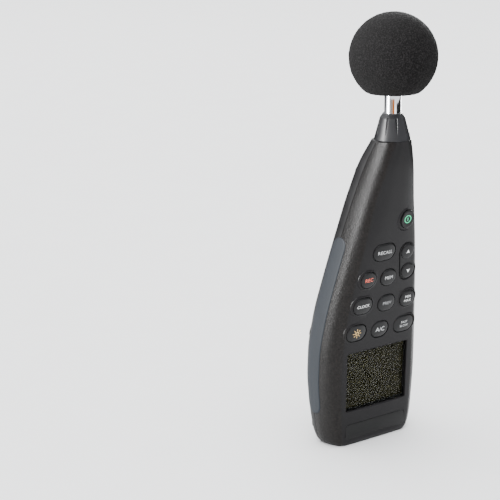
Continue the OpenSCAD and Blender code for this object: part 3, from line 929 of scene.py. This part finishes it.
def arrowMark(direction):
    deselectAll()
    bpy.ops.mesh.primitive_circle_add(vertices=4, radius=1 * mm, fill_type="NGON")
    arrow = newest("mark")
    for point in arrow.data.vertices:
        x, y = point.co.x / mm, point.co.y / mm
        if abs(x) > 0.5:
            point.co = (x * 1.6 * mm, -1.5 * direction * mm, 0)
        else:
            point.co = (0, (1.7 if y * direction > 0 else -0.7) * direction * mm, 0)
    return arrow


markMakers = {"text": textMark, "ring": ringMark, "bar": barMark, "arrow": arrowMark}


def makeKey(name):
    x, h, width, height = caseKeys[name]
    dished = name == "power"
    top = capShape["powerProud" if dished else "rocker" if name in ("up", "down") else "proud"]
    radius = capShape["powerRadius" if dished else "domeRadius"]
    grow, low = capShape["flangeGrow"], capShape["skirt"]
    rounding = sum(rise for inset, rise in roundedEdge)
    steps = [(grow, 0), (0, top - rounding - low), *roundedEdge]
    steps += [(step, 0) for step in (0.5, 0.8, 1.1, 1.2, 1.2, 0.9)]
    cap = outlinePrism(name + "_cap", width + 2 * grow, height + 2 * grow, height / 2 + grow,
        low - capShape["flange"], low, steps)

    def dome(px, py):
        return -(px * px + py * py) / (2 * radius)
    for point in cap.data.vertices:
        px, py, pz = point.co / mm
        if pz > low + 0.1:
            point.co.z = (pz + dome(px, py)) * mm
    if dished:
        cap.scale.x = frontCuts["powerOval"]
    ink, marks = keyMarks[name]
    parts = [markMakers[kind](*facts) for kind, *facts in marks]
    legend = joinInto(parts[0], parts[1:])
    legend.name = legend.data.name = name + "_legend"
    useModifier(legend, "SOLIDIFY", thickness=capShape["ink"] * mm, offset=0)
    for point in legend.data.vertices:
        px, py, pz = point.co / mm
        point.co.z = (pz + top + dome(px, py) + capShape["lift"]) * mm
    onPanel(cap, x, h)
    onPanel(legend, x, h)
    finishPiece(cap, name + "_key", finishes["key"], [name + "_key"], 40)
    finishPiece(legend, name + "_key", finishes[ink])


for name in caseKeys:
    makeKey(name)
print("keys made")


# Display and label

displayStack = {"window": (63.0, 52.6), "windowBack": -3.9, "windowFace": -2.7,
    "mask": (62.8, 52.4), "maskOpening": (59.6, 47.4), "glass": (60.0, 47.6),
    "label": (60.6, 12.0, 2.8)}
pane = outlinePrism("display_pane", *displayStack["window"], 1.0, displayStack["windowBack"],
    displayStack["windowFace"] - 0.15, [(0.15, 0.15)])
mask = outlinePrism("display_mask", *displayStack["mask"], 0.8, -4.15, -4.0)
hole = outlinePrism("maskHole", *displayStack["maskOpening"], 0.6, -5, -3)
cutWith(mask, hole)
glass = outlinePrism("display_panel", *displayStack["glass"], 0.5, -6.0, -4.35, [(0.15, 0.15)])
for piece, finish, slotName, node in ((pane, "window", "window_clear", "display_window"),
        (mask, "mask", "frame_black", None), (glass, "display", "lcd_panel", "lcd_glass")):
    standAt(piece, displayPlane["origin"], displayPlane["tilt"])
    finishPiece(piece, "case", finishes[finish], [node] if node else [], 30)
width, height, corner = displayStack["label"]
plate = outlinePrism("label_blank", width, height, corner, -0.95, -0.62,
    [(0.08, 0.08), (0.15, 0.04)])
standAt(plate, labelPlane["origin"], labelPlane["tilt"])
finishPiece(plate, "case", finishes["label"], ["label_plate"], 40)
print("display and label made")


# Collar and stem

collarShape = {"base": 253.0, "bore": 6.38, "spigot": 10.0, "spigotFoot": -8.0, "flutes": 9,
    "turn": 7.5, "columns": 450,
    "profile": ((0, 13.9), (0.5, 13.95), (1.4, 13.75), (16.2, 9.8), (16.9, 9.5), (19.4, 7.75),
        (19.85, 7.5), (20.0, 7.2)),
    "fluteLow": 3.6, "fluteHigh": 16.6, "fluteDepth": 1.15, "fluteWidth": 0.092}


def collarRadius(z):
    rows = collarShape["profile"]
    for low, high in zip(rows, rows[1:]):
        if z <= high[0]:
            return low[1] + (high[1] - low[1]) * (z - low[0]) / (high[0] - low[0])
    return rows[-1][1]


collarLevels = [0, 0.25, 0.5, 0.9, 1.4, 2.2] + [2.6 + 0.7 * i for i in range(1, 20)]
collarLevels += [16.4, 16.9, 17.3, 17.8, 18.5, 19.4, 19.65, 19.85, 20.0]


def collarPlace(column, row):
    turn = 2 * math.pi * column / collarShape["columns"]
    if row < 3:
        foot, bore, spigot = (collarShape[k] for k in ("spigotFoot", "bore", "spigot"))
        z, radius = ((foot, bore), (foot, spigot), (0.0, spigot))[row]
    elif row < 3 + len(collarLevels):
        z = collarLevels[row - 3]
        radius = collarRadius(z)
        low, high = collarShape["fluteLow"], collarShape["fluteHigh"]
        share = min(1.0, max(0.0, (z - low) / (high - low)))
        step = 2 * math.pi / collarShape["flutes"]
        first = math.radians(collarShape["turn"])
        off = abs(((turn - first) / step + 0.5) % 1 - 0.5) * step
        spread = collarShape["fluteWidth"] * (0.15 + 0.85 * share)
        groove = max(0.0, 1 - off / spread)
        fade = easeStep(0, 0.2, share) * (1 - easeStep(16.4, 17.4, z))
        radius -= collarShape["fluteDepth"] * share ** 0.6 * fade * (1 - (1 - groove) ** 1.5) \
            if groove > 0 else 0.0
    else:
        z = collarLevels[-1] if row == 3 + len(collarLevels) else collarShape["spigotFoot"]
        radius = collarShape["bore"]
    return (radius * math.cos(turn), micY + radius * math.sin(turn), collarShape["base"] + z)


collar = curvedSheet("fluted_collar", collarShape["columns"], 4 + len(collarLevels), collarPlace)
finishPiece(collar, "case", finishes["collar"], ["neck_collar"], 28)

stemShape = {"radius": 6.35, "low": 242.0, "high": 298.6}
deselectAll()
bpy.ops.mesh.primitive_cylinder_add(vertices=128, radius=stemShape["radius"] * mm,
    depth=(stemShape["high"] - stemShape["low"]) * mm,
    location=(0, micY * mm, (stemShape["low"] + stemShape["high"]) / 2 * mm))
stem = newest("bright_stem")
pickFaces(stem, lambda c, n: n.z > 0.9)
for inset, rise in ((0.25, 0), (0.75, 0), (0, -3.0)):
    if inset:
        bpy.ops.mesh.inset(thickness=inset * mm, depth=rise * mm)
    else:
        bpy.ops.mesh.extrude_region_move(TRANSFORM_OT_translate={"value": (0, 0, rise * mm)})
leaveEdit()
useModifier(stem, "BEVEL", width=0.12 * mm, segments=2, limit_method="ANGLE")
finishPiece(stem, "case", finishes["chrome"], ["mic_tube"], 40)
print("collar and stem made")


# Foam windscreen

foamShape = {"radius": 33.7, "middle": 315.3, "foot": 288.6, "bore": 6.65, "boreTop": 314.2,
    "pore": 1.15, "roughness": 0.8, "boreFoot": 280.0,
    "skinShare": 0.98, "poreLevel": 0.95}
deselectAll()
bpy.ops.mesh.primitive_ico_sphere_add(subdivisions=7, radius=foamShape["radius"] * mm,
    location=(0, micY * mm, foamShape["middle"] * mm))
foam = newest("foam_ball")
activate(foam)
bpy.ops.object.mode_set(mode="EDIT")
bpy.ops.mesh.select_all(action="SELECT")
bpy.ops.mesh.bisect(plane_co=(0, micY * mm, foamShape["foot"] * mm), plane_no=(0, 0, 1),
    use_fill=True, clear_inner=True)
leaveEdit()
deselectAll()
bpy.ops.mesh.primitive_cylinder_add(vertices=64, radius=foamShape["bore"] * mm,
    depth=(foamShape["boreTop"] - foamShape["boreFoot"]) * mm,
    location=(0, micY * mm, (foamShape["boreTop"] + foamShape["boreFoot"]) / 2 * mm))
cutWith(foam, newest("bore"))
pores = bpy.data.textures.new("foamPores", "CLOUDS")
pores.noise_scale = foamShape["pore"] * mm
pores.noise_depth = 2
foam.vertex_groups.new(name="skin")
foamCentre = Vector((0, micY, foamShape["middle"])) * mm
inner = foamShape["skinShare"] * foamShape["radius"] * mm
skin = [v.index for v in foam.data.vertices if (v.co - foamCentre).length > inner]
foam.vertex_groups["skin"].add(skin, 1.0, "REPLACE")
useModifier(foam, "DISPLACE", texture=pores, strength=foamShape["roughness"] * mm,
    mid_level=foamShape["poreLevel"], texture_coords="LOCAL", vertex_group="skin")
finishPiece(foam, "windscreen", finishes["foam"], ["windscreen"], 180)
print("windscreen made")


# CAD nodes that keep their own shape

nodeFinishes = {"mic_capsule": "capsule", "mic_grid": "capsule", "display_frame": "black",
    "backlight_panel": "light", "zebra_strips": "zebra", "keypad_mat": "mat",
    "keypad_board": "board", "main_board": "board", "preamp_board": "board",
    "board_screws": "screw", "battery": "jacket", "battery_snap": "black",
    "tripod_insert": "brass", "output_jack": "black", "usb_socket": "socket",
    "cal_trimmer_body": "blue", "cal_trimmer_rotor": "white", "case_screws": "screw"}
for name, finish in nodeFinishes.items():
    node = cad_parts[name]
    if not node.material_slots:
        node.data.materials.append(finishes[finish])
    for slot in node.material_slots:
        slot.material = finishes[finish]


# Floor, light and camera

studio = {
    "floor": tint(246, 246, 245), "world": (0.94, 0.96, 1.0, 1), "worldLight": 1.6,
    "lamps": (                # name, place, what it is aimed at, width, height, watts
        ("softbox", (-1.15, 0.2, 0.5), (0, -0.02, 0.15), 0.22, 0.9, 80),
        ("frontFill", (-0.8, -0.95, 1.1), (0, -0.02, 0.12), 0.8, 0.8, 5),
        ("overhead", (0, 1.5, 4.0), (0, 1.0, 0), 8.0, 8.0, 480),
        ("rim", (0.8, 0.62, 0.45), (0, -0.02, 0.15), 0.3, 0.8, 32),
        ("edgeLight", (-0.3, -0.35, 1.3), (0, -0.02, 0.1), 0.5, 0.5, 9)),
    "glossOnly": ("softbox", "rim", "edgeLight"),
    # cards round the meter that only reflections show: from and to angle, height, colour
    "cardDistance": 0.7,
    "cards": ((52, 112, 0.25, (14, 14, 14)), (112, 158, 0.6, (18, 17, 17)),
        (-180, -104, 0.4, (18, 17, 17)), (-34, -22, 0.3, (12, 11, 11)),
        (-22, -1, 0.3, (128, 118, 108)), (-1, 23, 0.3, (142, 78, 28))),
}
deselectAll()
bpy.ops.mesh.primitive_plane_add(size=40, location=(0, 0, 0))
floor = newest("floor")
floorPaint = Paint("floor_paper", roughness=0.9, specular=0.0)
floorPaint.set("Base Color", floorPaint.blend(floorPaint.noise(60.0), studio["floor"],
    shade(studio["floor"], 1.04)))
floor.data.materials.append(floorPaint.material)

world = bpy.context.scene.world or bpy.data.worlds.new("studio")
bpy.context.scene.world = world
world.use_nodes = True
background = world.node_tree.nodes["Background"]
background.inputs["Color"].default_value = studio["world"]
background.inputs["Strength"].default_value = studio["worldLight"]
for name, place, aim, width, height, power in studio["lamps"]:
    lamp = bpy.data.lights.new(name, "AREA")
    lamp.shape, lamp.size, lamp.size_y, lamp.energy = "RECTANGLE", width, height, power
    holder = bpy.data.objects.new(name, lamp)
    bpy.context.scene.collection.objects.link(holder)
    holder.location = place
    holder.rotation_euler = (Vector(aim) - Vector(place)).to_track_quat("-Z", "Y").to_euler()
    holder.visible_diffuse = name not in studio["glossOnly"]


def cardStrip(number, start, end, height, colour):
    # bent round the meter, seen only in reflections
    distance = studio["cardDistance"]
    steps = max(2, int(abs(end - start) / 6))
    toCamera = math.atan2(cameraView["place"][1] - micY * mm, cameraView["place"][0])

    def place(column, row):
        turn = toCamera + math.radians(start + (end - start) * column / steps)
        return (distance / mm * math.cos(turn), micY + distance / mm * math.sin(turn),
            height / mm * row)
    card = curvedSheet("card_%d" % number, steps, 1, place)
    paper = Paint("card_paper_%d" % number, roughness=0.9, specular=0.1)
    paper.set("Base Color",
        paper.blend(paper.noise(30.0), tint(*colour), shade(tint(*colour), 1.1)))
    card.data.materials.append(paper.material)
    card.visible_camera = card.visible_diffuse = card.visible_shadow = False
    card.visible_transmission = False


cameraView = {"place": (-0.66317, -0.83949, 0.46435), "aim": (-0.10127, 0.01046, 0.17199),
    "lens": 100, "roll": -0.97}
camera = bpy.data.objects.new("camera", bpy.data.cameras.new("camera"))
bpy.context.scene.collection.objects.link(camera)
camera.data.lens = cameraView["lens"]
camera.data.sensor_width = 36
camera.location = cameraView["place"]
look = (Vector(cameraView["aim"]) - Vector(cameraView["place"])).to_track_quat("-Z", "Y")
camera.rotation_euler = (look @ Quaternion((0, 0, 1), math.radians(cameraView["roll"]))).to_euler()
bpy.context.scene.camera = camera
for number, card in enumerate(studio["cards"]):
    cardStrip(number, *card)
print("studio set")
